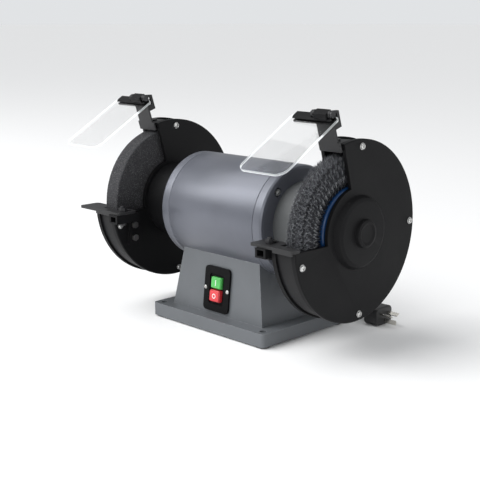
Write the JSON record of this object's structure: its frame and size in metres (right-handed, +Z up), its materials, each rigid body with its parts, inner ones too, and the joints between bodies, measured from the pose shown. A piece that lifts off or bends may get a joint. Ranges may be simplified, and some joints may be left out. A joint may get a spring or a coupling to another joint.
{
  "type": "bench grinder",
  "caption": "Bench grinder: a motor on a tapered pedestal turns a grinding wheel and a wire wheel inside guards, with eye shields, tool rests and push-button switch.",
  "frame": {"origin": "on the bench at the middle of the base bolt pattern, straight below the spindle axis", "axes": "+X along the spindle towards the wire wheel, +Y to the back of the machine, +Z up; the wheels run in planes square to X"},
  "size_m": [0.424, 0.326, 0.3018],
  "materials": {
    "cast_paint": "satin grey paint over a casting",
    "motor_paint": "satin blue-grey paint",
    "cover_steel": "plain sheet steel, lightly painted",
    "guard_paint": "matt black powder coat",
    "rest_paint": "black paint, worn on the edges",
    "zinc": "bright zinc plate",
    "dark_bolts": "oiled steel",
    "steel": "ground steel",
    "laminations": "stacked electrical sheet",
    "copper": "enamelled copper wire, varnished",
    "abrasive": "bonded grey aluminium oxide grit",
    "blotter": "pressed paper",
    "wire": "crimped steel wire",
    "blue_ring": "blue enamel on pressed steel",
    "foot_rubber": "matt rubber",
    "capacitor_can": "moulded plastic can",
    "terminal_plastic": "moulded nylon",
    "switch_black": "moulded black plastic",
    "switch_case": "moulded black plastic",
    "green_plastic": "moulded green plastic",
    "red_plastic": "moulded red plastic",
    "cord_rubber": "smooth black sheath",
    "tie": "soft plastic band",
    "plug_rubber": "moulded black plug",
    "pin_metal": "nickel plate",
    "pane": "clear polycarbonate"
  },
  "bodies": {
    "machine": {"base_casting": "cast_paint", "base_cover": "cover_steel", "base_cover_screws": "zinc", "rubber_feet": "foot_rubber", "capacitor": "capacitor_can", "capacitor_clamp": "zinc", "terminal_block": "terminal_plastic", "switch_plate": "switch_black", "switch_plate_screws": "zinc", "switch_body": "switch_case", "cord_gland": "cord_rubber", "cord_lead": "cord_rubber", "cord_coil": "cord_rubber", "cord_tie": "tie", "cord_tail": "cord_rubber", "plug_body": "plug_rubber", "plug_pins": "pin_metal", "motor_housing": "motor_paint", "left_end_bell": "motor_paint", "right_end_bell": "motor_paint", "tie_bolts": "dark_bolts", "motor_studs": "dark_bolts", "stator_core": "laminations", "stator_windings": "copper", "bearing_outer_rings": "steel", "left_guard_neck": "guard_paint", "right_guard_neck": "motor_paint", "left_guard_back": "guard_paint", "right_guard_back": "guard_paint", "left_guard_hoop": "guard_paint", "right_guard_hoop": "guard_paint", "left_guard_cover": "guard_paint", "right_guard_cover": "guard_paint", "guard_screws": "zinc", "neck_screws": "dark_bolts", "left_rest_bracket": "rest_paint", "right_rest_bracket": "rest_paint", "rest_bracket_bolts": "zinc", "rest_clamp_bolts": "rest_paint", "left_shield_bracket": "rest_paint", "right_shield_bracket": "rest_paint", "shield_fasteners": "zinc"},
    "rotor": {"spindle": "steel", "rotor_core": "laminations", "bearing_inner_rings": "steel", "grinding_wheel": "abrasive", "wheel_blotters": "blotter", "wire_bristles": "wire", "brush_rings": "blue_ring", "left_wheel_flanges": "steel", "right_wheel_flanges": "steel", "spindle_nuts": "dark_bolts"},
    "green_button": {"green_button": "green_plastic"},
    "red_button": {"red_button": "red_plastic"},
    "left_rest": {"left_tool_rest": "rest_paint"},
    "right_rest": {"right_tool_rest": "rest_paint"},
    "left_shield": {"left_shield_clamp": "rest_paint", "left_shield_pane": "pane"},
    "right_shield": {"right_shield_clamp": "rest_paint", "right_shield_pane": "pane"}
  },
  "joints": [
    {"name": "spindle_spin", "type": "hinge", "parent": "machine", "child": "rotor", "pos_m": [0, 0, 0.151], "axis": [1, 0, 0], "continuous": true},
    {"name": "green_button_push", "type": "slide", "parent": "machine", "child": "green_button", "axis": [0, 0.9944, -0.106], "range_m": [0, 0.003], "stiffness_N_per_m": 500, "springref_m": -0.002},
    {"name": "red_button_push", "type": "slide", "parent": "machine", "child": "red_button", "axis": [0, 0.9944, -0.106], "range_m": [0, 0.003], "stiffness_N_per_m": 500, "springref_m": -0.002},
    {"name": "left_rest_slide", "type": "slide", "parent": "machine", "child": "left_rest", "axis": [0, -1, 0], "range_m": [-0.002, 0.012]},
    {"name": "right_rest_slide", "type": "slide", "parent": "machine", "child": "right_rest", "axis": [0, -1, 0], "range_m": [-0.002, 0.012]},
    {"name": "left_shield_tilt", "type": "hinge", "parent": "machine", "child": "left_shield", "pos_m": [-0.169, -0.04713, 0.29604], "axis": [-1, 0, 0], "range_deg": [-8, 70]},
    {"name": "right_shield_tilt", "type": "hinge", "parent": "machine", "child": "right_shield", "pos_m": [0.169, -0.04713, 0.29604], "axis": [-1, 0, 0], "range_deg": [-8, 70]}
  ]
}
